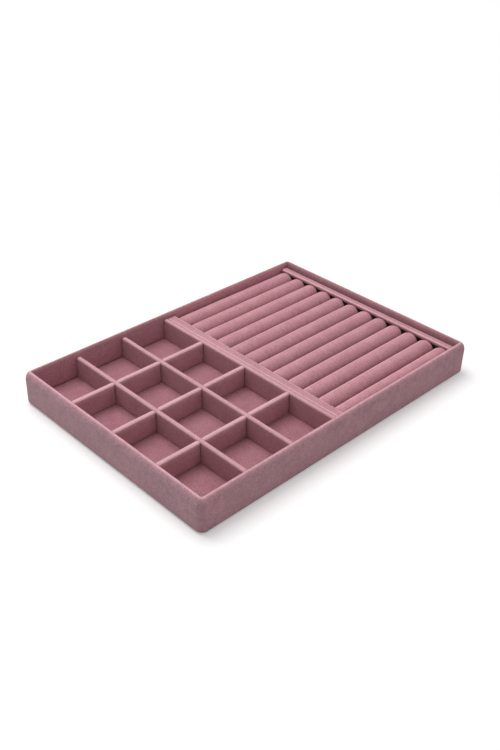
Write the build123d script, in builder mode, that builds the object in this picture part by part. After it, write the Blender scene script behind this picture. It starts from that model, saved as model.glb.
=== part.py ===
"""Velvet jewelry tray with a lattice of compartments and a row of ring rolls.

A mitred frame and a base board carry one velvet wrap. A slotted divider lattice and a ring
insert stand loose on the velvet floor and lift out. Units are millimetres. The origin is the
centre of the underside, +X runs along the tray, +Y towards its back and +Z up.
"""
import os

from build123d import *

os.makedirs("parts", exist_ok=True)

# Tray shell
tray_length = 350.0
tray_depth = 246.0
tray_height = 34.0
corner_radius = 7.0
rail_thickness = 4.0
wrap_thickness = 1.0
rim_radius = 4.8
rim_inner_radius = 0.5
foot_radius = 2.5
rail_foot_chamfer = 0.9
hem_width = 12.0
lining_thickness = 0.8
lining_inset = 4.0

# Bottom and floor
base_thickness = 3.2
rebate_width = 2.0
base_clearance = 0.2
floor_card_thickness = 1.0
floor_clearance = 0.3
velvet_thickness = 0.8

# Divider lattice
column_count = 3
row_count = 4
cell_length = 48.6
middle_cell_depth = 53.4
divider_board_thickness = 3.4
divider_height = 21.7
divider_end_chamfer = 1.0
lattice_wall_gap = 0.5
lap_clearance = 0.15
tee_clearance = 0.3

# Ring insert
roll_count = 12
insert_card_thickness = 1.4
insert_lattice_gap = 0.4
insert_wall_gap = 3.0
insert_end_gap = 0.8
strip_left_width = 9.2
strip_right_width = 6.8
strip_height = 20.0
strip_edge_radius = 1.4
strip_cover_leg = 3.0
roll_side_clearance = 0.3
roll_end_clearance = 0.3
roll_end_chamfer = 2.4

# Fits shared by the loose inserts
seat_clearance = 0.3
cut_overrun = 5.0

# Shell sizes that follow
wall_thickness = rail_thickness + 2 * wrap_thickness
inner_length = tray_length - 2 * wall_thickness
inner_depth = tray_depth - 2 * wall_thickness
rail_length = tray_length - 2 * wrap_thickness
rail_depth = tray_depth - 2 * wrap_thickness
rail_inner_length = rail_length - 2 * rail_thickness
rail_inner_depth = rail_depth - 2 * rail_thickness
rail_bottom = lining_thickness + wrap_thickness
rail_top = tray_height - wrap_thickness
rail_corner_radius = corner_radius - wrap_thickness
rebate_length = rail_inner_length + 2 * rebate_width
rebate_depth = rail_inner_depth + 2 * rebate_width
mitre_reach = rail_thickness + rebate_width + cut_overrun
base_top = rail_bottom + base_thickness
card_top = base_top + floor_card_thickness
floor_top = card_top + velvet_thickness
floor_length = inner_length - 2 * floor_clearance
floor_depth = inner_depth - 2 * floor_clearance
insert_bottom = floor_top + seat_clearance

# Lattice sizes that follow
divider_thickness = divider_board_thickness + 2 * velvet_thickness
column_pitch = cell_length + divider_thickness
row_pitch = middle_cell_depth + divider_thickness
long_divider_xs = [
    -inner_length / 2 + column * column_pitch - divider_thickness / 2
    for column in range(1, column_count + 1)
]
cross_divider_ys = [(row_count / 2 - row) * row_pitch for row in range(1, row_count)]
lattice_left = -inner_length / 2 + lattice_wall_gap
lattice_right = long_divider_xs[-1] + divider_thickness / 2
lattice_depth = inner_depth - 2 * lattice_wall_gap
lap_width = divider_thickness + 2 * lap_clearance

# Ring insert sizes that follow
insert_left = lattice_right + insert_lattice_gap
insert_right = inner_length / 2 - insert_wall_gap
insert_depth = inner_depth - 2 * insert_end_gap
insert_middle = (insert_left + insert_right) / 2
insert_card_top = insert_bottom + insert_card_thickness
strips = {
    "left": (insert_left + strip_left_width / 2, strip_left_width),
    "right": (insert_right - strip_right_width / 2, strip_right_width),
}
roll_pitch = insert_depth / roll_count
roll_radius = (roll_pitch - roll_side_clearance) / 2
roll_axis_height = insert_card_top + seat_clearance + roll_radius
roll_left = insert_left + strip_left_width + roll_end_clearance
roll_right = insert_right - strip_right_width - roll_end_clearance
roll_middle = (roll_left + roll_right) / 2
roll_ys = [insert_depth / 2 - (number - 0.5) * roll_pitch for number in range(1, roll_count + 1)]


def save(builder, name):
    """Labels a finished piece and writes it under its own name."""
    builder.part.label = name
    export_step(builder.part, f"parts/{name}.step")


# Frame blank: the four rails before they are cut apart at the mitres. Its top edge is rounded
# over nearly the whole thickness of the rail, and its foot is rebated for the base board.
with BuildPart() as frame_blank:
    with BuildSketch(Plane.XY.offset(rail_bottom)):
        RectangleRounded(rail_length, rail_depth, rail_corner_radius)
    extrude(amount=rail_top - rail_bottom)
    fillet(frame_blank.faces().sort_by(Axis.Z)[-1].edges(), radius=rim_radius - wrap_thickness)
    chamfer(frame_blank.faces().sort_by(Axis.Z)[0].edges(), rail_foot_chamfer)
    with BuildSketch(Plane.XY.offset(rail_bottom)):
        Rectangle(rail_inner_length, rail_inner_depth)
    extrude(amount=tray_height, mode=Mode.SUBTRACT)
    with BuildSketch(Plane.XY.offset(rail_bottom)):
        Rectangle(rebate_length, rebate_depth)
    extrude(amount=base_thickness, mode=Mode.SUBTRACT)

# Rails: each side of the frame, with both ends mitred at 45 degrees
for turn, side in enumerate(["front", "right", "back", "left"]):
    half_sizes = [rail_length / 2, rail_depth / 2]
    half_run, half_across = half_sizes if turn % 2 == 0 else reversed(half_sizes)
    with BuildPart() as rail:
        add(frame_blank.part)
        with BuildSketch(Plane.XY.offset(rail_bottom).rotated((0, 0, 90 * turn))):
            with BuildLine():
                Polyline(
                    (-half_run, -half_across),
                    (half_run, -half_across),
                    (half_run - mitre_reach, -half_across + mitre_reach),
                    (-half_run + mitre_reach, -half_across + mitre_reach),
                    close=True,
                )
            make_face()
        extrude(amount=tray_height, mode=Mode.INTERSECT)
    save(rail, f"rail_{side}")

# Base board, let into the rebate of the rails
with BuildPart() as base_board:
    with BuildSketch(Plane.XY.offset(rail_bottom)):
        Rectangle(rebate_length - 2 * base_clearance, rebate_depth - 2 * base_clearance)
    extrude(amount=base_thickness)
save(base_board, "base_board")

# Velvet wrap: one skin from the hem under the tray, up the outside, over the rolled rim and
# down the inside to the base board
with BuildPart() as velvet_wrap:
    with BuildSketch(Plane.XY.offset(lining_thickness)):
        RectangleRounded(tray_length, tray_depth, corner_radius)
    extrude(amount=tray_height - lining_thickness)
    fillet(velvet_wrap.faces().sort_by(Axis.Z)[-1].edges(), radius=rim_radius)
    fillet(velvet_wrap.faces().sort_by(Axis.Z)[0].edges(), radius=foot_radius)
    with BuildSketch(Plane.XY.offset(base_top)):
        Rectangle(inner_length, inner_depth)
    extrude(amount=tray_height, mode=Mode.SUBTRACT)
    fillet(velvet_wrap.faces().sort_by(Axis.Z)[-1].inner_wires()[0].edges(), radius=rim_inner_radius)
    add(frame_blank.part, mode=Mode.SUBTRACT)
    with BuildSketch(Plane.XY.offset(rail_bottom)):
        Rectangle(rebate_length, rebate_depth)
    extrude(amount=base_thickness, mode=Mode.SUBTRACT)
    with BuildSketch(Plane.XY.offset(lining_thickness)):
        Rectangle(tray_length - 2 * hem_width, tray_depth - 2 * hem_width)
    extrude(amount=wrap_thickness, mode=Mode.SUBTRACT)
save(velvet_wrap, "velvet_wrap")

# Underside lining, glued over the inner edge of the hem; the tray rests on it
with BuildPart() as underside_lining:
    with BuildSketch():
        RectangleRounded(tray_length - 2 * lining_inset, tray_depth - 2 * lining_inset, corner_radius)
    extrude(amount=lining_thickness)
save(underside_lining, "underside_lining")

# Floor card, and the velvet stretched over it and turned down round its edges
with BuildPart() as floor_card:
    with BuildSketch(Plane.XY.offset(base_top)):
        Rectangle(floor_length - 2 * velvet_thickness, floor_depth - 2 * velvet_thickness)
    extrude(amount=floor_card_thickness)
save(floor_card, "floor_card")

with BuildPart() as floor_velvet:
    with BuildSketch(Plane.XY.offset(base_top)):
        Rectangle(floor_length, floor_depth)
    extrude(amount=floor_card_thickness + velvet_thickness)
    add(floor_card.part, mode=Mode.SUBTRACT)
save(floor_velvet, "floor_velvet")


def lapped_divider(length, inset, spans, lap_bottom, lap_top):
    """Draws a round-topped divider along local X on z = 0, cut across at each span.

    The inset shrinks it evenly on all sides but its foot.
    """
    half_thickness = divider_thickness / 2 - inset
    half_length = length / 2 - inset
    spring_height = divider_height - divider_thickness / 2
    end_chamfer = divider_end_chamfer - inset * (2 - 2**0.5)
    with BuildPart() as divider:
        with BuildSketch(Plane.YZ.offset(-half_length)):
            with BuildLine():
                Line((-half_thickness, 0), (half_thickness, 0))
                Line((half_thickness, 0), (half_thickness, spring_height))
                ThreePointArc(
                    (half_thickness, spring_height),
                    (0, spring_height + half_thickness),
                    (-half_thickness, spring_height),
                )
                Line((-half_thickness, spring_height), (-half_thickness, 0))
            make_face()
        extrude(amount=2 * half_length)
        end_edges = divider.faces().filter_by(Axis.X).edges()
        chamfer(end_edges.sort_by(Axis.Z)[2:], end_chamfer)
        for start, end in spans:
            with BuildSketch(Plane.XY.offset(lap_bottom)):
                with Locations(((start + end) / 2, 0)):
                    Rectangle(end - start, divider_thickness + cut_overrun)
            extrude(amount=lap_top - lap_bottom, mode=Mode.SUBTRACT)
    return divider.part


def save_divider(kind, number, middle, angle, length, laps):
    """Writes a divider's board and the velvet cover that fits over it."""
    board_blank = lapped_divider(length, velvet_thickness, *laps)
    with BuildPart() as board:
        with Locations(Location((*middle, insert_bottom), (0, 0, angle))):
            add(board_blank)
    save(board, f"{kind}_divider_{number}_board")
    with BuildPart() as cover:
        with Locations(Location((*middle, insert_bottom), (0, 0, angle))):
            add(lapped_divider(length, 0, *laps))
            add(board_blank, mode=Mode.SUBTRACT)
    save(cover, f"{kind}_divider_{number}_velvet")


# Long dividers: from front to back, unbroken along the top and slotted from below
low_laps = [(place - lap_width / 2, place + lap_width / 2) for place in cross_divider_ys]
for number, x in enumerate(long_divider_xs, start=1):
    laps = (low_laps, -cut_overrun, divider_height / 2 + lap_clearance)
    save_divider("long", number, (x, 0), 90, lattice_depth, laps)

# Cross dividers: from the left wall to the last long divider, slotted from above. Their right
# end is a tongue that fills the slot of the last long divider.
cross_middle = (lattice_left + lattice_right) / 2
high_laps = [
    (x - cross_middle - lap_width / 2, x - cross_middle + lap_width / 2) for x in long_divider_xs[:-1]
]
tee_start = long_divider_xs[-1] - divider_thickness / 2 - tee_clearance - cross_middle
high_laps.append((tee_start, lattice_right - cross_middle + cut_overrun))
for number, y in enumerate(cross_divider_ys, start=1):
    laps = (high_laps, divider_height / 2 - lap_clearance, divider_height + cut_overrun)
    save_divider("cross", number, (cross_middle, y), 0, lattice_right - lattice_left, laps)

# Ring insert card, which carries the strips and the rolls
with BuildPart() as insert_card:
    with BuildSketch(Plane.XY.offset(insert_bottom)):
        with Locations((insert_middle, 0)):
            Rectangle(insert_right - insert_left, insert_depth)
    extrude(amount=insert_card_thickness)
save(insert_card, "insert_card")

# End strips: a foam core on the card, capped by a velvet cover with short legs
for side, (x, width) in strips.items():
    with BuildPart() as strip_core:
        with BuildSketch(Plane.XY.offset(insert_card_top)):
            with Locations((x, 0)):
                Rectangle(width - 2 * velvet_thickness, insert_depth - 2 * velvet_thickness)
        extrude(amount=strip_height - velvet_thickness)
        fillet(strip_core.faces().sort_by(Axis.Z)[-1].edges(), strip_edge_radius - velvet_thickness)
    save(strip_core, f"strip_{side}_core")
    with BuildPart() as strip_cover:
        with BuildSketch(Plane.XY.offset(insert_card_top + strip_height)):
            with Locations((x, 0)):
                Rectangle(width, insert_depth)
        extrude(amount=-velvet_thickness - strip_cover_leg)
        fillet(strip_cover.faces().sort_by(Axis.Z)[-1].edges(), strip_edge_radius)
        add(strip_core.part, mode=Mode.SUBTRACT)
    save(strip_cover, f"strip_{side}_velvet")


# Ring rolls: a foam rod cut square, inside a velvet sleeve whose ends are tucked in behind a
# softened edge
left_end = [
    (roll_left, 0),
    (roll_left, roll_radius - roll_end_chamfer),
    (roll_left + roll_end_chamfer, roll_radius),
]
right_end = [(roll_left + roll_right - x, height) for x, height in reversed(left_end)]
foam_length = roll_right - roll_left - 2 * roll_end_chamfer
for number, y in enumerate(roll_ys, start=1):
    roll_axis = Axis((roll_middle, y, roll_axis_height), (1, 0, 0))
    with BuildPart() as foam:
        with BuildSketch(Plane(origin=roll_axis.position, z_dir=roll_axis.direction)):
            Circle(roll_radius - velvet_thickness)
        extrude(amount=foam_length / 2, both=True)
    save(foam, f"roll_{number:02d}_foam")
    with BuildPart() as sleeve:
        with BuildSketch(Plane(origin=(0, y, roll_axis_height), x_dir=(1, 0, 0), z_dir=(0, -1, 0))):
            with BuildLine():
                Polyline(*left_end, *right_end, close=True)
            make_face()
        revolve(axis=roll_axis)
        add(foam.part, mode=Mode.SUBTRACT)
    save(sleeve, f"roll_{number:02d}_velvet")
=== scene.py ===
"""Velvet jewelry tray, dressed over its CAD frame. Lengths are in metres."""
import math
from typing import NamedTuple

import bmesh
import bpy
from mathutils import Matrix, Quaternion, Vector, noise


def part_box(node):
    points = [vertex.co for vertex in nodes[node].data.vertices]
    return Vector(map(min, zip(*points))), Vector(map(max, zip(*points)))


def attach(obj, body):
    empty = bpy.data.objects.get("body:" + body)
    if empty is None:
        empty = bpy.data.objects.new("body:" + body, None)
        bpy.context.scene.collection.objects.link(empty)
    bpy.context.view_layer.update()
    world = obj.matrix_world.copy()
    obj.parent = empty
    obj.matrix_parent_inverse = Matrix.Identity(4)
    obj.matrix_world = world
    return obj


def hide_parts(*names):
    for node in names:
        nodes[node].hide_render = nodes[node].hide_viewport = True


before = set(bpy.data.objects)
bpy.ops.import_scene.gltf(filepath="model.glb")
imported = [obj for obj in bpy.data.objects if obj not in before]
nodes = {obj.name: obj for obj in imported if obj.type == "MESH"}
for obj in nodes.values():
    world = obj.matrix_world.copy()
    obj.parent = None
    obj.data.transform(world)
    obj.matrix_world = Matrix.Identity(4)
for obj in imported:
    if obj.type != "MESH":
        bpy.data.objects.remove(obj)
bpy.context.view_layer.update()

scene = bpy.context.scene
mm = 0.001
divider_numbers = (1, 2, 3)
roll_count = 12

# Sizes of the real coverings that the CAD boxes don't give
velvet_thickness = 0.8 * mm
lap_clearance = 0.15 * mm
pile_reach = 0.1 * mm


# Shader nodes

def add_node(tree, kind, inputs=None, **settings):
    """A shader node with its inputs set to values or linked to other nodes' outputs."""
    node = tree.nodes.new(kind)
    for key, value in settings.items():
        setattr(node, key, value)
    for key, value in (inputs or {}).items():
        if isinstance(value, bpy.types.NodeSocket):
            tree.links.new(value, node.inputs[key])
        else:
            node.inputs[key].default_value = value
    return node


def calculate(tree, operation, *values, clamp=False):
    """The result of a Math node whose inputs are numbers or other nodes' outputs."""
    inputs = dict(enumerate(values))
    node = add_node(tree, "ShaderNodeMath", inputs, operation=operation, use_clamp=clamp)
    return node.outputs[0]


def mix_colours(tree, factor, first, second):
    """A colour between first and second. Sockets 6, 7 and 2 are the Mix node's colours."""
    mixed = add_node(tree, "ShaderNodeMix", {0: factor, 6: first, 7: second}, data_type="RGBA")
    return mixed.outputs[2]


def painted(tree, name):
    """A value that paint() has stored at the mesh's points, or 0 where it hasn't."""
    return add_node(tree, "ShaderNodeAttribute", attribute_name=name).outputs["Fac"]


def noise_field(tree, sizes, detail=2.0, offset=0.0):
    """Noise about 0.5 whose features have the given sizes along x, y and z."""
    place = add_node(tree, "ShaderNodeTexCoord").outputs["Object"]
    scaled = add_node(
        tree, "ShaderNodeMapping",
        {"Vector": place, "Scale": [1 / size for size in sizes], "Location": [offset] * 3},
    )
    texture = add_node(
        tree, "ShaderNodeTexNoise",
        {"Vector": scaled.outputs["Vector"], "Scale": 1.0, "Detail": detail},
    )
    return texture.outputs["Fac"]


def blend_factor(tree, fields):
    """0.5 plus each noise field's swing about 0.5 times its strength, kept within 0 and 1."""
    total = 0.5
    for field, strength in fields:
        swing = calculate(tree, "MULTIPLY_ADD", field, strength, -0.5 * strength)
        total = calculate(tree, "ADD", swing, total)
    return add_node(tree, "ShaderNodeClamp", {"Value": total}).outputs[0]


def new_material(name):
    """A node material, its tree and its Principled shader."""
    material = bpy.data.materials.new(name)
    material.use_nodes = True
    return material, material.node_tree, material.node_tree.nodes["Principled BSDF"]


def finish_shader(tree, shader, shade, relief, relief_strength, relief_depth, roughness, gloss):
    """Gives the shader its colour and relief, and sets how rough and glossy it is."""
    bump = add_node(
        tree, "ShaderNodeBump",
        {"Height": relief, "Strength": relief_strength, "Distance": relief_depth},
    )
    tree.links.new(shade, shader.inputs["Base Color"])
    tree.links.new(bump.outputs["Normal"], shader.inputs["Normal"])
    shader.inputs["Roughness"].default_value = roughness
    shader.inputs["Specular IOR Level"].default_value = gloss


def colour(red, green, blue):
    """A linear colour with full alpha."""
    return (red, green, blue, 1.0)


# Velvet: its shades, the size of each kind of mark in the pile, and how much each mark turns the
# shade and raises the relief
velvet_deep = colour(0.485, 0.232, 0.268)
velvet_light = colour(0.640, 0.335, 0.378)
# Darker, greyer colours of the wrap's outer sides: painted shade and sheen
outer_shade_sheen_deep = colour(0.330, 0.205, 0.228)
outer_shade_sheen_light = colour(0.520, 0.300, 0.335)
# Paler colours for tops and edges: painted highlight
highlight_deep = colour(0.70, 0.395, 0.435)
highlight_light = colour(0.90, 0.540, 0.580)
sheen_tint = colour(1.0, 0.90, 0.92)
sheen_roughness = 0.3
patch_size = 18 * mm
brush_mark_size = 4.5 * mm
grain_size = 1.1 * mm
pile_size = 0.35 * mm
patch_strength = 0.9
brush_mark_strength = 0.6
outside_brush_mark_strength = 1.1
grain_strength = 2.1
pile_strength = 1.1
grain_relief = 0.5
streak_relief = 0.3


def velvet(name, streak_sizes, streak_strength, outer_shade_sheen=False, sheen=0.6,
           shades=(velvet_deep, velvet_light)):
    """Short pile velvet: brushed patches, nap streaks, fine pile, painted highlight and shade."""
    material, tree, shader = new_material(name)
    patches = noise_field(tree, [patch_size] * 3, detail=3.0)
    brush_marks = noise_field(tree, [brush_mark_size] * 3, offset=7.0)
    streaks = noise_field(tree, streak_sizes, offset=3.0)
    grain = noise_field(tree, [grain_size] * 3, detail=1.0, offset=11.0)
    pile = noise_field(tree, [pile_size] * 3, detail=1.0)
    factor = blend_factor(tree, [
        (patches, patch_strength),
        (brush_marks, outside_brush_mark_strength if outer_shade_sheen else brush_mark_strength),
        (streaks, streak_strength),
        (grain, grain_strength),
        (pile, pile_strength),
    ])
    shade = mix_colours(tree, factor, *shades)
    # Painted shade and sheen: the wrap's outer sides take a darker, greyer colour
    if outer_shade_sheen:
        outer_shade_sheen_colour = mix_colours(tree, factor, outer_shade_sheen_deep, outer_shade_sheen_light)
        shade = mix_colours(tree, painted(tree, "outer_shade_sheen"), shade, outer_shade_sheen_colour)
    # Painted highlight: a paler colour mixed in by the painted highlight value
    highlight_colour = mix_colours(tree, factor, highlight_deep, highlight_light)
    shade = mix_colours(tree, painted(tree, "painted_highlight"), shade, highlight_colour)
    # Painted shade: the colour is scaled by the painted shade value
    shaded_colour = add_node(
        tree, "ShaderNodeVectorMath", {0: shade, "Scale": painted(tree, "painted_shade")}, operation="SCALE"
    )
    relief = blend_factor(tree, [
        (pile, 1.0),
        (grain, grain_relief),
        (streaks, streak_relief * streak_strength),
    ])
    finish_shader(
        tree, shader, shaded_colour.outputs["Vector"], relief,
        relief_strength=0.45, relief_depth=0.4 * mm, roughness=0.95, gloss=0.12,
    )
    shader.inputs["Sheen Weight"].default_value = sheen
    shader.inputs["Sheen Roughness"].default_value = sheen_roughness
    shader.inputs["Sheen Tint"].default_value = sheen_tint
    return material


wrap_velvet = velvet(
    "wrap_velvet", streak_sizes=[1.4 * mm, 1.4 * mm, 14 * mm], streak_strength=0.35, outer_shade_sheen=True
)
# The floor's more saturated shades are painted light reflected from the compartment walls
floor_velvet = velvet(
    "floor_velvet", streak_sizes=[1.6 * mm] * 3, streak_strength=0.3, sheen=0.3,
    shades=(colour(0.470, 0.200, 0.245), colour(0.655, 0.315, 0.370)),
)
divider_velvet = velvet(
    "divider_velvet", streak_sizes=[1.6 * mm, 1.6 * mm, 9 * mm], streak_strength=0.35
)
strip_velvet = velvet("strip_velvet", streak_sizes=[1.6 * mm] * 3, streak_strength=0.3)
roll_velvet = velvet(
    "roll_velvet", streak_sizes=[1.1 * mm, 9 * mm, 9 * mm], streak_strength=1.2, sheen=0.35,
    shades=(colour(0.500, 0.226, 0.262), colour(0.668, 0.340, 0.385)),
)

# Board, card, foam and flock
cloud_size = 12 * mm
cloud_strength = 0.8
fibre_strength = 2.2


def fibrous(name, dark, light, fibre_size, roughness, relief_depth):
    """Pressed fibre, card, foam or flock: specks of two tones with a fine relief."""
    material, tree, shader = new_material(name)
    fibres = noise_field(tree, [fibre_size] * 3, detail=3.0)
    clouds = noise_field(tree, [cloud_size] * 3, offset=5.0)
    factor = blend_factor(tree, [(fibres, fibre_strength), (clouds, cloud_strength)])
    finish_shader(
        tree, shader, mix_colours(tree, factor, dark, light), fibres,
        relief_strength=0.5, relief_depth=relief_depth, roughness=roughness, gloss=0.25,
    )
    return material


fibreboard = fibrous(
    "fibreboard", dark=colour(0.23, 0.14, 0.075), light=colour(0.42, 0.28, 0.16),
    fibre_size=0.5 * mm, roughness=0.8, relief_depth=0.1 * mm,
)
hardboard = fibrous(
    "hardboard", dark=colour(0.12, 0.085, 0.06), light=colour(0.26, 0.19, 0.14),
    fibre_size=0.4 * mm, roughness=0.75, relief_depth=0.08 * mm,
)
grey_board = fibrous(
    "grey_board", dark=colour(0.20, 0.19, 0.17), light=colour(0.34, 0.33, 0.30),
    fibre_size=0.3 * mm, roughness=0.85, relief_depth=0.05 * mm,
)
# The black card's faint red is painted light reflected from the velvet
black_card = fibrous(
    "black_card", dark=colour(0.016, 0.009, 0.010), light=colour(0.038, 0.022, 0.024),
    fibre_size=0.3 * mm, roughness=0.8, relief_depth=0.05 * mm,
)
black_foam = fibrous(
    "black_foam", dark=colour(0.012, 0.007, 0.008), light=colour(0.034, 0.020, 0.022),
    fibre_size=0.6 * mm, roughness=0.95, relief_depth=0.2 * mm,
)
flocked_lining = fibrous(
    "flocked_lining", dark=colour(0.27, 0.125, 0.15), light=colour(0.40, 0.195, 0.23),
    fibre_size=0.25 * mm, roughness=0.95, relief_depth=0.06 * mm,
)

# Meshes: points nearer to each other than this are joined
joining_distance = 0.002 * mm


def mesh_object(name, points, faces, material, body):
    """A smooth piece that rides on a body and takes the given material."""
    mesh = bpy.data.meshes.new(name)
    mesh.from_pydata(points, [], faces)
    mesh.validate()
    work = bmesh.new()
    work.from_mesh(mesh)
    bmesh.ops.remove_doubles(work, verts=work.verts, dist=joining_distance)
    unused = [vertex for vertex in work.verts if not vertex.link_faces]
    bmesh.ops.delete(work, geom=unused, context="VERTS")
    work.to_mesh(mesh)
    work.free()
    mesh.materials.append(material)
    mesh.shade_smooth()
    piece = bpy.data.objects.new(name, mesh)
    scene.collection.objects.link(piece)
    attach(piece, body)
    return piece


def paint(piece, name, rule):
    """Stores a value at each of a piece's points, by the point's place and its normal."""
    values = piece.data.attributes.new(name, "FLOAT", "POINT")
    for index, vertex in enumerate(piece.data.vertices):
        values.data[index].value = rule(vertex.co, vertex.normal)


def ramp(value, start, end):
    """0 before start, 1 after end, and smooth between them. Either may be the greater."""
    share = min(1.0, max(0.0, (value - start) / (end - start)))
    return share * share * (3 - 2 * share)


def softness(point, feature, seed):
    """A smooth value from about -1 to 1 that changes over one feature's length."""
    return noise.noise(Vector(point) / feature + Vector((seed, 2 * seed, 3 * seed)))


def even_steps(start, end, step):
    """Evenly spaced values from start to end, both left out."""
    count = max(1, round((end - start) / step))
    return [start + (end - start) * index / count for index in range(1, count)]


def arc_points(centre, radii, first, last, steps):
    """Points of an elliptical arc about a centre, with its angles in degrees."""
    points = []
    for index in range(steps + 1):
        angle = math.radians(first + (last - first) * index / steps)
        across = centre[0] + radii[0] * math.cos(angle)
        points.append((across, centre[1] + radii[1] * math.sin(angle)))
    return points


def ring_stations(half_length, half_depth, step, corner_steps):
    """Points round a rectangle: place, outward direction and distance to the nearest corner."""
    signs = [(1, 1), (-1, 1), (-1, -1), (1, -1)]
    corners = [Vector((half_length * sign_x, half_depth * sign_y)) for sign_x, sign_y in signs]
    stations = []
    for turn, corner in enumerate(corners):
        for index in range(corner_steps + 1):
            angle = math.pi / 2 * (turn + index / corner_steps)
            stations.append((corner, Vector((math.cos(angle), math.sin(angle))), 0.0))
        following = corners[(turn + 1) % 4]
        side = (following - corner).length
        for run in even_steps(0.0, side, step):
            place = corner.lerp(following, run / side)
            stations.append((place, stations[-1][1], min(run, side - run)))
    return stations


def ring_faces(stations, rows, closed):
    """Quads of a section carried once round; a closed section joins its last row to its first."""
    faces = []
    for station in range(stations):
        here = station * rows
        following = (station + 1) % stations * rows
        for row in range(rows if closed else rows - 1):
            beside = (row + 1) % rows
            faces.append((here + row, following + row, following + beside, here + beside))
    return faces


# Velvet wrap: one closed skin swept round the tray. A row of the sweep is given by how far out
# it lies from the core rectangle through the centres of the corner arcs, and by its height.
wrap_low, wrap_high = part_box("velvet_wrap")
rail_low, rail_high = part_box("rail_front")
base_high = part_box("base_board")[1]
corner_radius = 7 * mm
wall_thickness = 6 * mm
wall_inside = corner_radius - wall_thickness
core_half_length = wrap_high.x - corner_radius
core_half_depth = wrap_high.y - corner_radius
skin = 1 * mm
hem_reach = 5 * mm
foot_radius = 2.5 * mm
shoulder_in = 5.8 * mm
shoulder_drop = 8 * mm
inner_edge = 0.5 * mm
rail_round = 3.8 * mm
rail_chamfer = 0.9 * mm
mitre_slit = 0.3 * mm
outer_wall_step = 3 * mm
inner_wall_step = 3.5 * mm

# The wrap's unevenness: its depth, and the lengths of its waves and ripples
wrap_unevenness = 0.09 * mm
wave_length = 24 * mm
ripple_length = 7 * mm
ripple_share = 0.5
inner_side_share = 0.5


def wrap_rows():
    """The wrap's section as a closed loop: seen rows first, then the rows on the rails."""
    bottom, top = wrap_low.z, wrap_high.z
    hem = (-hem_reach, -hem_reach / 3, hem_reach / 2)
    foot = (corner_radius - foot_radius, bottom + foot_radius)
    shoulder = (corner_radius - shoulder_in, top - shoulder_drop)
    lip = (wall_inside + inner_edge, top - inner_edge)
    seen = [(out, bottom) for out in hem]
    seen += arc_points(foot, (foot_radius, foot_radius), -90, 0, steps=6)
    seen += [(corner_radius, up) for up in even_steps(foot[1], shoulder[1], outer_wall_step)]
    seen += arc_points(shoulder, (shoulder_in, shoulder_drop), 0, 90, steps=14)
    seen += arc_points(lip, (inner_edge, inner_edge), 90, 180, steps=4)
    inner_heights = even_steps(base_high.z, lip[1], inner_wall_step)
    seen += [(wall_inside, up) for up in reversed(inner_heights)]
    seen += [(wall_inside, base_high.z)]
    rail_out = corner_radius - skin
    rail_top = (rail_out - rail_round, rail_high.z - rail_round)
    hidden = [(wall_inside + skin, base_high.z), (wall_inside + skin, rail_high.z)]
    hidden += arc_points(rail_top, (rail_round, rail_round), 90, 0, steps=6)
    hidden += [(rail_out, rail_low.z + rail_chamfer), (rail_out - rail_chamfer, rail_low.z)]
    hidden += [(out, rail_low.z) for out in reversed(hem)]
    return seen, hidden


def wrap_swell(point, out):
    """How far the velvet stands off its section: inwards, and by half, on the wall's inner face."""
    waves = softness(point, wave_length, seed=1)
    ripples = ripple_share * softness(point, ripple_length, seed=2)
    side = 1 if out > wall_inside + inner_edge else -inner_side_share
    return wrap_unevenness * (waves + ripples) * side


def make_wrap():
    """Sweeps the section round the tray. Near a corner the hem ends at its mitre."""
    seen, hidden = wrap_rows()
    rows = seen + hidden
    stations = ring_stations(core_half_length, core_half_depth, step=2 * mm, corner_steps=9)
    points = []
    for place, outward, to_corner in stations:
        for index, (out, up) in enumerate(rows):
            reach = max(out, mitre_slit - to_corner)
            point = Vector((*(place + outward * reach), up))
            if index < len(seen) and out > 0:
                point += Vector((*(outward * wrap_swell(point, out)), 0))
            points.append(point)
    faces = ring_faces(len(stations), len(rows), closed=True)
    wrap = mesh_object("rolled_velvet_wrap", points, faces, wrap_velvet, "tray")
    paint_wrap(wrap)
    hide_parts("velvet_wrap")


# The wrap's paint: painted shade and sheen outside, painted highlight on the lip and painted shade.
# A range is where a ramp starts and where it is full: distances out from the wall's inner face,
# heights from the rim's top, or how much of a normal points one way.
outside_range = (1.0 * mm, 4.6 * mm)
front_range = (0.2, 0.9)
# How much less painted shade and sheen the front-facing outer sides take
front_shade_sheen_loss = 0.3
lip_middle = 0.6 * mm
lip_end_range = (0.5 * mm, 2.2 * mm)
lip_height_range = (-2.0 * mm, -0.5 * mm)
lip_highlight = 0.9
foot_shade_height = 9 * mm
inner_face_range = (0.4 * mm, 0.1 * mm)
inner_side_range = (0.3, 0.95)
front_shade = 0.06
corner_shade = 0.14
foot_shade = 0.10
inner_right_shade = 0.22
inner_back_shade = 0.10


def distance_out(co):
    """How far out from the wall's inner face a point lies."""
    over = (abs(co.x) - core_half_length, abs(co.y) - core_half_depth)
    from_core = math.hypot(*over) if min(over) > 0 else max(over)
    return from_core - wall_inside


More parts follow.
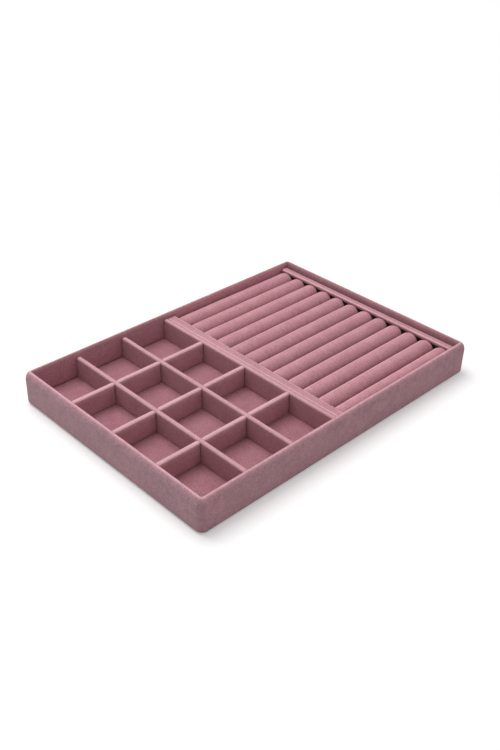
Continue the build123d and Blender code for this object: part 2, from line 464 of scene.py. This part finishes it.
def paint_wrap(wrap):
    """Painted shade and sheen on the outer sides, painted highlight on the lip, and painted shade.
    """

    def beyond_rim(co):
        return ramp(distance_out(co), *outside_range)

    def facing_front(normal):
        return ramp(-normal.y, *front_range)

    def outer_shade_sheen(co, normal):
        return beyond_rim(co) * (1 - front_shade_sheen_loss * facing_front(normal))

    # Painted highlight along the rim's inner edge
    def lip(co, normal):
        near = 1 - ramp(abs(distance_out(co) - lip_middle), *lip_end_range)
        return lip_highlight * near * ramp(co.z - wrap_high.z, *lip_height_range)

    # Painted shade on front-facing outer sides, outer corners, the foot and the inner right and back
    # faces
    def painted_shade(co, normal):
        front = facing_front(normal) * beyond_rim(co)
        corner = 2 * abs(normal.x * normal.y) * outer_shade_sheen(co, normal)
        foot = 1 - ramp(co.z, 0.0, foot_shade_height)
        inner = ramp(distance_out(co), *inner_face_range)
        inner_right = inner * ramp(-normal.x, *inner_side_range)
        inner_back = inner * ramp(-normal.y, *inner_side_range)
        return (
            (1 - front_shade * front)
            * (1 - corner_shade * corner)
            * (1 - foot_shade * foot)
            * (1 - inner_right_shade * inner_right)
            * (1 - inner_back_shade * inner_back)
        )

    paint(wrap, "outer_shade_sheen", outer_shade_sheen)
    paint(wrap, "painted_highlight", lip)
    paint(wrap, "painted_shade", painted_shade)


# Underside lining: rows of the sheet's seen face at these shares of the way to its corner arcs
lining_shares = (0.0, 0.25, 0.5, 0.7, 0.85, 0.94)
lining_edge = 0.35 * mm
lining_unevenness = 0.03 * mm
lining_wave_length = 30 * mm


def make_lining():
    """The flocked sheet under the tray: rounded corners, pressed edges and a soft, level face."""
    low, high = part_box("underside_lining")
    rim = corner_radius - lining_edge
    edge_radii = (lining_edge, lining_edge)
    lower_edge = arc_points((rim, low.z + lining_edge), edge_radii, -90, 0, steps=3)
    upper_edge = arc_points((rim, high.z - lining_edge), edge_radii, 0, 90, steps=3)
    rows = [(share, share * rim, low.z) for share in lining_shares]
    rows += [(1.0, out, up) for out, up in lower_edge + upper_edge]
    rows += [(share, share * rim, high.z) for share in (lining_shares[-1], lining_shares[0])]
    half_length = high.x - corner_radius
    half_depth = high.y - corner_radius
    stations = ring_stations(half_length, half_depth, step=6 * mm, corner_steps=6)
    points = []
    for place, outward, _ in stations:
        for share, out, up in rows:
            point = Vector((*(place * share + outward * out), up))
            if up < low.z + lining_edge / 2 and share < 1:
                point.z += lining_unevenness * (1 + softness(point, lining_wave_length, seed=8))
            points.append(point)
    faces = ring_faces(len(stations), len(rows), closed=False)
    lining = mesh_object(
        "flocked_underside_sheet", points, faces, flocked_lining, "tray"
    )
    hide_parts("underside_lining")


# Folded covers: an arch-shaped section carried along a board or core, with rounded ends. Beside
# a lap the top dips over the dip's run, and in full from the dip's rise above the lap's level.
# The press is the share of its unevenness by which a top lies below the CAD's.
foot_row_height = 1.0 * mm
dip_run = 2.4 * mm
dip_rise = 1.5 * mm
cover_wave_length = 18 * mm
cover_press = 0.6
same_place = 0.001 * mm
end_probe = 0.1 * mm


class Laps(NamedTuple):
    """Spans along a cover that are cut away above or below a level, with a dip beside each."""
    spans: tuple = ()
    level: float = 0.0
    cut_top: bool = False
    dip: float = 0.0


def arch(half_width, height, radius, leg_heights, edge_steps, top_steps):
    """Section points (across, up) from the left foot over the top to the right foot."""
    left = [(-half_width, up) for up in leg_heights]
    centre = (half_width - radius, height - radius)
    turn = arc_points((0, 0), (radius, radius), 180, 90, edge_steps)
    left += [(across - centre[0], up + centre[1]) for across, up in turn]
    right = [(-across, up) for across, up in reversed(left)]
    flat_step = 2 * centre[0] / top_steps
    flat = [(across, height) for across in even_steps(-centre[0], centre[0], flat_step)]
    return left + flat + right


def rounding(start, run, depth, steps=6):
    """Rows (along, inset) of a rounded end that starts at a place and runs away from it."""
    rows = []
    for index in range(steps + 1):
        angle = math.pi / 2 * (1 - index / steps)
        rows.append((start + run * (1 - math.sin(angle)), depth * (1 - math.cos(angle))))
    return rows


def cover_rows(length, rounds, laps, step):
    """Rows (along, inset of all, inset of the top) from one end of a cover to the other."""
    half = length / 2
    rows = [(along, inset, 0.0) for along, inset in rounding(-half, rounds[0], rounds[0])]
    rows += [(along, inset, 0.0) for along, inset in rounding(half, -rounds[1], rounds[1])]
    for start, end in laps.spans:
        rows += [(along, 0.0, inset) for along, inset in rounding(start, -dip_run, laps.dip)]
        if end < half - rounds[1]:
            rows += [(along, 0.0, inset) for along, inset in rounding(end, dip_run, laps.dip)]
    rows.sort()
    filled = rows[:1]
    for row in rows[1:]:
        gap = (filled[-1][0], row[0])
        in_span = any(start < sum(gap) / 2 < end for start, end in laps.spans)
        if gap[1] - gap[0] > step and not in_span:
            filled += [(along, 0.0, 0.0) for along in even_steps(*gap, step)]
        filled.append(row)
    return filled


def coping(along, over, radius, laps):
    """How far a cut end goes on, at a height over the shoulder, to meet the other round top."""
    if over <= 0 or not laps.cut_top:
        return 0.0
    reach = radius - math.sqrt(max(0.0, radius**2 - over**2))
    for start, end in laps.spans:
        if abs(along - start) < same_place:
            return reach
        if abs(along - end) < same_place:
            return -reach
    return 0.0


def cover_faces(rows, outline, laps, closed):
    """Faces of a cover's rows and ends, without those that the laps cut away.

    An end's faces join the left and right halves of the outline, with a triangle at its top.
    """
    count = len(outline)
    last = (len(rows) - 1) * count

    def kept(along, up):
        in_span = any(start < along < end for start, end in laps.spans)
        return not in_span or (up < laps.level if laps.cut_top else up > laps.level)

    faces = []
    for row in range(len(rows) - 1):
        along = (rows[row][0] + rows[row + 1][0]) / 2
        here = row * count
        following = here + count
        for index in range(count - 1):
            beside = index + 1
            if kept(along, (outline[index][1] + outline[beside][1]) / 2):
                faces.append((here + index, following + index, following + beside, here + beside))
        if closed:
            faces.append((here + count - 1, following + count - 1, following, here))
    for index in range((count - 1) // 2):
        up = (outline[index][1] + outline[index + 1][1]) / 2
        mirrored = count - 1 - index
        end_face = [index, index + 1, mirrored - 1, mirrored]
        if mirrored - 1 == index + 1:
            end_face.pop(2)
        if kept(rows[0][0] + end_probe, up):
            faces.append(end_face)
        if kept(rows[-1][0] - end_probe, up):
            faces.append([last + corner for corner in reversed(end_face)])
    return faces


def make_cover(name, node, material, body, slot, radius, rounds, along_y=False, legs=1,
               laps=Laps(), step=3 * mm, foot_pile=0.0, unevenness=0.0, closed=False,
               top_steps=4, edge_steps=8):
    """A cover with the outer size of a CAD node, placed where the node is.

    Its top edges have the given radius and its two ends the rounds. Its sides rise in as many
    steps as legs says, from a foot_pile below the node's foot. A closed cover is a solid block.
    """
    low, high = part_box(node)
    size = high - low
    middle = (low + high) / 2
    length, width = (size.y, size.x) if along_y else (size.x, size.y)
    half_width = width / 2
    shoulder = size.z - radius
    leg_heights = [-foot_pile] + [shoulder * index / legs for index in range(1, legs)]
    if foot_pile:
        leg_heights.append(foot_row_height)
    if laps.spans:
        leg_heights.append(laps.level)
    leg_heights.sort()
    rows = cover_rows(length, rounds, laps, step)
    outline = arch(half_width, size.z, radius, leg_heights, edge_steps, top_steps)
    points = []
    for place, inset, top_inset in rows:
        for out, rise in outline:
            over_level = min(1.0, max(0.0, (rise - laps.level) / dip_rise))
            total = inset + top_inset * over_level
            up = rise - total * min(1.0, rise / shoulder)
            along = place + coping(place, up - shoulder, radius, laps)
            across = out * (1 - min(1.0, total / half_width))
            offset = (-across, along) if along_y else (along, across)
            point = Vector((middle.x + offset[0], middle.y + offset[1], low.z + up))
            if rise > shoulder:
                bumps = softness(point, cover_wave_length, seed=4)
                point.z += unevenness * (bumps - cover_press)
            points.append(point)
    faces = cover_faces(rows, outline, laps, closed)
    piece = mesh_object(name, points, faces, material, body)
    if not closed:
        thickness = piece.modifiers.new("thickness", "SOLIDIFY")
        thickness.thickness = velvet_thickness
        thickness.offset = -1.0
    return piece


# Divider covers: sizes, then the paint, painted highlight and painted shade. The highlight's ranges
# are heights from the top, a crease's painted shade fades with the distance from its joint, and
# the other two ranges are of a normal.
divider_radius = 1.8 * mm
cross_tongue_radius = 0.9 * mm
cross_dip = 0.62 * mm
divider_unevenness = 0.12 * mm
divider_foot_pile = 0.22 * mm
divider_highlight = {"long": 0.55, "cross": 0.95}
divider_highlight_range = {"long": (-2.2 * mm, -0.5 * mm), "cross": (-2.9 * mm, -0.8 * mm)}
divider_shade = 0.93
left_side_range = (0.3, 0.95)
left_side_shade = 0.18
crease_end_range = (0.3 * mm, 1.3 * mm)
foot_crease_height = 1.0 * mm
level_range = (0.2, 0.6)
crease_shade = 0.34


def divider_middles(kind, axis):
    """Places of one kind of divider along an axis."""
    boxes = [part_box(f"{kind}_divider_{number}_velvet") for number in divider_numbers]
    return [(low[axis] + high[axis]) / 2 for low, high in boxes]


def make_dividers():
    """The six divider covers, lapped into each other."""
    long_low, long_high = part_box("long_divider_1_velvet")
    cross_low, cross_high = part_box("cross_divider_1_velvet")
    cross_middle = (cross_low.x + cross_high.x) / 2
    half_width = (long_high.x - long_low.x) / 2
    half_height = (long_high.z - long_low.z) / 2
    half_lap = half_width - pile_reach
    low_laps = [(y - half_lap, y + half_lap) for y in sorted(divider_middles("cross", 1))]
    crossings = [x - cross_middle for x in divider_middles("long", 0)]
    high_laps = [(x - half_lap, x + half_lap) for x in crossings[:-1]]
    tee_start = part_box("long_divider_3_velvet")[0].x + pile_reach - cross_middle
    high_laps.append((tee_start, cross_high.x - cross_middle + lap_clearance))
    forms = {
        "long": {
            "along_y": True,
            "rounds": (divider_radius, divider_radius),
            "laps": Laps(tuple(low_laps), half_height + lap_clearance),
        },
        "cross": {
            "rounds": (divider_radius, cross_tongue_radius),
            "laps": Laps(tuple(high_laps), half_height - lap_clearance, cut_top=True, dip=cross_dip),
        },
    }
    for number in divider_numbers:
        for kind, form in forms.items():
            node = f"{kind}_divider_{number}_velvet"
            cover = make_cover(
                f"{kind}_divider_{number}_cover", node, divider_velvet, "divider_lattice",
                "divider_velvet", radius=divider_radius, legs=5, foot_pile=divider_foot_pile,
                unevenness=divider_unevenness, **form,
            )
            plain_right = (kind, number) == ("long", divider_numbers[-1])
            paint_divider(cover, kind, long_low.z, half_width, plain_right)
            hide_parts(node)


def paint_divider(cover, kind, foot, half_width, plain_right):
    """Painted highlight along the top, painted shade on the long dividers' left sides and creases.

    Nothing joins the right side of the last long divider, or a cross divider to the right of it.
    """
    long = kind == "long"
    crossings = divider_middles("cross", 1) if long else divider_middles("long", 0)
    top = max(vertex.co.z for vertex in cover.data.vertices)

    # Painted highlight along the top
    def painted_highlight(co, normal):
        return divider_highlight[kind] * ramp(co.z - top, *divider_highlight_range[kind])

    # Painted shade: the whole cover a little, the long dividers' left sides, and upright faces near
    # joints and foot
    def painted_shade(co, normal):
        left_side = ramp(-normal.x, *left_side_range) if long else 0.0
        along = co.y if long else co.x
        to_joint = min(abs(abs(along - crossing) - half_width) for crossing in crossings)
        plain = (plain_right and normal.x > 0) if long else along > max(crossings)
        joint = 0.0 if plain else 1 - ramp(to_joint, *crease_end_range)
        crease = max(joint, 1 - ramp(co.z - foot, 0.0, foot_crease_height))
        upright = 1 - ramp(abs(normal.z), *level_range)
        side_shade = divider_shade * (1 - left_side_shade * left_side)
        return side_shade * (1 - crease_shade * crease * upright)

    paint(cover, "painted_highlight", painted_highlight)
    paint(cover, "painted_shade", painted_shade)


# Floor velvet, evenly darkened by a painted shade
floor_shade = 0.77
floor_unevenness = 0.05 * mm


def make_floor():
    """The floor velvet, turned down round its card."""
    cover = make_cover(
        "compartment_floor_velvet", "floor_velvet", floor_velvet, "tray", "floor_velvet",
        radius=velvet_thickness, rounds=(velvet_thickness, velvet_thickness), step=4 * mm,
        unevenness=floor_unevenness, top_steps=60, edge_steps=4,
    )
    # Painted shade: the whole floor evenly darker
    paint(cover, "painted_shade", lambda co, normal: floor_shade)
    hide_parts("floor_velvet")


# End strips: sizes, then the paint: painted highlight and painted shade. The highlight's band ends
# at a distance from each top edge.
strip_edge = 1.4 * mm
strip_core_edge = strip_edge - velvet_thickness
strip_unevenness = 0.1 * mm
strip_highlight = 0.95
strip_band_end_range = (0.9 * mm, 1.7 * mm)
strip_top_range = (0.1, 0.5)
strip_foot_shade = 0.55
strip_shade_rise = 0.41
strip_shade_height = 2.6 * mm


def make_strip(side):
    """One end strip: a foam block under a short-legged velvet cover."""
    cover = make_cover(
        f"strip_{side}_cover", f"strip_{side}_velvet", strip_velvet, "ring_insert", "strip_velvet",
        radius=strip_edge, rounds=(strip_edge, strip_edge), along_y=True, legs=2,
        unevenness=strip_unevenness, top_steps=6, edge_steps=5,
    )
    paint_strip(cover, *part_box(f"strip_{side}_velvet"))
    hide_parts(f"strip_{side}_velvet")
    core = make_cover(
        f"strip_{side}_foam_block", f"strip_{side}_core", black_foam, "ring_insert", "strip_foam",
        radius=strip_core_edge, rounds=(strip_core_edge, strip_core_edge), along_y=True, legs=6,
        closed=True, edge_steps=4,
    )
    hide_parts(f"strip_{side}_core")


def paint_strip(cover, low, high):
    """Painted highlight along both top edges, and painted shade towards the foot."""

    # Painted highlight along the top edges
    def edges(co, normal):
        to_edge = min(co.x - low.x, high.x - co.x)
        band = 1 - ramp(to_edge, *strip_band_end_range)
        return strip_highlight * band * ramp(normal.z, *strip_top_range)

    # Painted shade, darker towards the foot
    def painted_shade(co, normal):
        return strip_foot_shade + strip_shade_rise * ramp(co.z - low.z, 0.0, strip_shade_height)

    paint(cover, "painted_highlight", edges)
    paint(cover, "painted_shade", painted_shade)


# Ring rolls: foam rods in velvet sleeves with pillow ends. Each point of an end's dimple is a
# share of the dimple's depth and a share of the flat's radius. A roll's axis wanders slightly.
roll_segments = 56
roll_end_run = 5.6 * mm
roll_end_radius = 3.8 * mm
roll_step = 3 * mm
roll_dimple = 0.7 * mm
dimple_shape = ((1.0, 0.0), (0.45, 0.22), (0.12, 0.5), (0.0, 0.8))
roll_sag = 0.26 * mm
roll_unevenness = 0.16 * mm
roll_bump_length = 15 * mm
roll_shrink = 0.8
roll_wander = 0.12 * mm
roll_wander_length = 60 * mm
wander_across = 0.3
wander_up = 0.5
card_clearance = 0.04 * mm

# The rolls' paint: painted highlight and painted shade. A range is of how much a normal points to
# the back, the front or the top.
roll_highlight = 0.92
highlight_start_range = (0.25, 0.62)
highlight_end_range = (0.72, 0.9)
roll_front_range = (0.0, 0.7)
roll_front_shade = 0.16
roll_top_range = (0.15, 0.78)
groove_shade = 0.20


def roll_profile(half_length, radius):
    """Points (along, out) of half a roll, from the middle of its end to the middle of the roll."""
    flat = radius - roll_end_radius
    end = [(-half_length + depth * roll_dimple, share * flat) for depth, share in dimple_shape]
    centre = (-half_length + roll_end_run, flat)
    turn = arc_points(centre, (roll_end_run, roll_end_radius), 180, 90, steps=10)
    body = [(along, radius) for along in even_steps(centre[0], 0.0, roll_step)]
    return end + turn + body


def roll_section_point(along, out, angle, radius, number):
    """A point (across, up) of a roll's section, uneven as stuffing is and sagging below."""
    across = out * math.cos(angle)
    up = out * math.sin(angle)
    if out > 0:
        bumps = softness((along, across, up), roll_bump_length, seed=10 + number)
        shrink = roll_unevenness * (roll_shrink + bumps) * out / radius
        scale = 1 - shrink / max(out, mm)
        across *= scale
        up *= scale
    if up < 0:
        up *= 1 + roll_sag / radius
    return across, up


def make_roll(number):
    """One roll, slightly uneven as a stuffed sleeve is, and flat where it rests on the card."""
    node = f"roll_{number:02d}_velvet"
    low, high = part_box(node)
    middle = (low + high) / 2
    radius = (high.z - low.z) / 2
    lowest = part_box("insert_card")[1].z + card_clearance
    left = roll_profile((high.x - low.x) / 2, radius)
    profile = left + [(0.0, radius)] + [(-along, out) for along, out in reversed(left)]
    points = []
    for along, out in profile:
        wander = roll_wander * softness((along, 0, 0), roll_wander_length, seed=number)
        for index in range(roll_segments):
            angle = 2 * math.pi * index / roll_segments
            across, up = roll_section_point(along, out, angle, radius, number)
            y = middle.y + across + wander * wander_across
            z = middle.z + up + wander * wander_up
            points.append(Vector((middle.x + along, y, max(z, lowest))))
    faces = roll_faces(len(profile))
    roll = mesh_object(
        f"ring_roll_{number:02d}", points, faces, roll_velvet, "ring_insert"
    )
    paint_roll(roll)
    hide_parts(node, f"roll_{number:02d}_foam")


def roll_faces(rows):
    """Quads between the rings of a roll; the rings at its two ends shrink to a point."""
    faces = []
    for row in range(rows - 1):
        here = row * roll_segments
        following = here + roll_segments
        for index in range(roll_segments):
            beside = (index + 1) % roll_segments
            faces.append((here + index, here + beside, following + beside, following + index))
    return faces


def paint_roll(roll):
    """Painted highlight on the upper back side, painted shade towards the grooves and front."""

    # Painted highlight on the upper back side
    def painted_highlight(co, normal):
        beyond = ramp(normal.y, *highlight_end_range)
        return roll_highlight * ramp(normal.y, *highlight_start_range) * (1 - beyond)

    # Painted shade towards the front and the grooves
    def painted_shade(co, normal):
        front = ramp(-normal.y, *roll_front_range)
        groove = 1 - ramp(normal.z, *roll_top_range)
        return (1 - roll_front_shade * front) * (1 - groove_shade * groove)

    paint(roll, "painted_highlight", painted_highlight)
    paint(roll, "painted_shade", painted_shade)


def dress_cad_nodes():
    """Materials of the CAD nodes that still show."""
    finishes = {f"rail_{side}": fibreboard for side in ("front", "back", "left", "right")}
    finishes["base_board"] = hardboard
    finishes["floor_card"] = black_card
    finishes["insert_card"] = black_card
    for kind in ("long", "cross"):
        for number in divider_numbers:
            finishes[f"{kind}_divider_{number}_board"] = grey_board
    for name, material in finishes.items():
        for material_slot in nodes[name].material_slots:
            material_slot.material = material


# Studio: the light level and the floor, which fades to white between two distances
ambient_light = 0.50
white = colour(1, 1, 1)
floor_half_size = 6.0
floor_bounce = colour(0.80, 0.78, 0.78)
floor_seen = colour(0.9, 0.9, 0.9)
floor_glow = 0.25
fade_start = 0.3
fade_end = 0.7


def seen_ray(tree):
    """1 for camera, glossy and transmission rays, and 0 for the rays that light surfaces."""
    path = add_node(tree, "ShaderNodeLightPath")
    total = calculate(tree, "ADD", path.outputs["Is Camera Ray"], path.outputs["Is Glossy Ray"])
    return calculate(tree, "ADD", total, path.outputs["Is Transmission Ray"], clamp=True)


def floor_material():
    """Pale with a shadow near the object, and white to the eye further off."""
    material = bpy.data.materials.new("studio_floor")
    material.use_nodes = True
    tree = material.node_tree
    tree.nodes.clear()
    seen = seen_ray(tree)
    shade = mix_colours(tree, seen, floor_bounce, floor_seen)
    diffuse = add_node(tree, "ShaderNodeBsdfDiffuse", {"Color": shade})
    glow_level = calculate(tree, "MULTIPLY", seen, floor_glow)
    glow = add_node(tree, "ShaderNodeEmission", {"Strength": glow_level})
    near = add_node(tree, "ShaderNodeAddShader", {0: diffuse.outputs[0], 1: glow.outputs[0]})
    far = add_node(tree, "ShaderNodeEmission", {"Strength": 1.0})
    place = add_node(tree, "ShaderNodeTexCoord").outputs["Object"]
    reach = add_node(tree, "ShaderNodeVectorMath", {0: place}, operation="LENGTH").outputs["Value"]
    fade = add_node(
        tree, "ShaderNodeMapRange", {"Value": reach, "From Min": fade_start, "From Max": fade_end}
    )
    far_seen = calculate(tree, "MULTIPLY", fade.outputs["Result"], seen)
    both = add_node(
        tree, "ShaderNodeMixShader", {0: far_seen, 1: near.outputs[0], 2: far.outputs[0]}
    )
    add_node(tree, "ShaderNodeOutputMaterial", {"Surface": both.outputs[0]})
    return material


def make_floor_plane():
    """A wide pale floor that keeps the object's soft shadow."""
    half = floor_half_size
    corners = [(-half, -half, 0), (half, -half, 0), (half, half, 0), (-half, half, 0)]
    mesh = bpy.data.meshes.new("studio_floor")
    mesh.from_pydata(corners, [], [(0, 1, 2, 3)])
    mesh.materials.append(floor_material())
    floor = bpy.data.objects.new("studio_floor", mesh)
    scene.collection.objects.link(floor)


def make_world():
    """White to the eye, and a weaker even light on the surfaces."""
    world = bpy.data.worlds.new("studio_world")
    world.use_nodes = True
    tree = world.node_tree
    tree.nodes.clear()
    strength = calculate(tree, "MULTIPLY_ADD", seen_ray(tree), 1.0 - ambient_light, ambient_light)
    background = add_node(tree, "ShaderNodeBackground", {"Color": white, "Strength": strength})
    add_node(tree, "ShaderNodeOutputWorld", {"Surface": background.outputs[0]})
    scene.world = world


def make_lamp(name, place, aim, size, power):
    """A square soft box."""
    light = bpy.data.lights.new(name, "AREA")
    light.shape = "SQUARE"
    light.size = size
    light.energy = power
    lamp = bpy.data.objects.new(name, light)
    lamp.location = place
    lamp.rotation_mode = "QUATERNION"
    lamp.rotation_quaternion = (Vector(aim) - Vector(place)).to_track_quat("-Z", "Y")
    scene.collection.objects.link(lamp)


# The photograph's viewpoint, found by fitting the tray's outline. Angles are in radians, and
# the lens and sensor are in millimetres.
camera_place = (-0.517258, -0.511695, 0.493750)
camera_azimuth = 0.783228
camera_pitch = 0.584263
camera_roll = 0.029848
camera_lens = 43.668
sensor_width = 36.0
nearest_seen = 0.05
farthest_seen = 40.0


def make_camera():
    """The camera, looking down at the tray from its front left corner."""
    data = bpy.data.cameras.new("camera")
    data.sensor_width = sensor_width
    data.lens = camera_lens
    data.clip_start = nearest_seen
    data.clip_end = farthest_seen
    camera = bpy.data.objects.new("camera", data)
    camera.location = camera_place
    level = math.cos(camera_pitch)
    forward = Vector((
        level * math.cos(camera_azimuth), level * math.sin(camera_azimuth), -math.sin(camera_pitch)
    ))
    turned = Quaternion((0, 0, 1), camera_roll)
    camera.rotation_mode = "QUATERNION"
    camera.rotation_quaternion = forward.to_track_quat("-Z", "Y") @ turned
    scene.collection.objects.link(camera)
    scene.camera = camera


make_camera()
make_wrap()
make_lining()
make_floor()
make_dividers()
for strip_side in ("left", "right"):
    make_strip(strip_side)
for roll_number in range(1, roll_count + 1):
    make_roll(roll_number)
dress_cad_nodes()
make_world()
make_lamp("overhead", place=(-0.05, 0.45, 1.25), aim=(0.0, 0.0, 0.0), size=0.9, power=11.0)
make_floor_plane()
scene.view_settings.view_transform = "Standard"
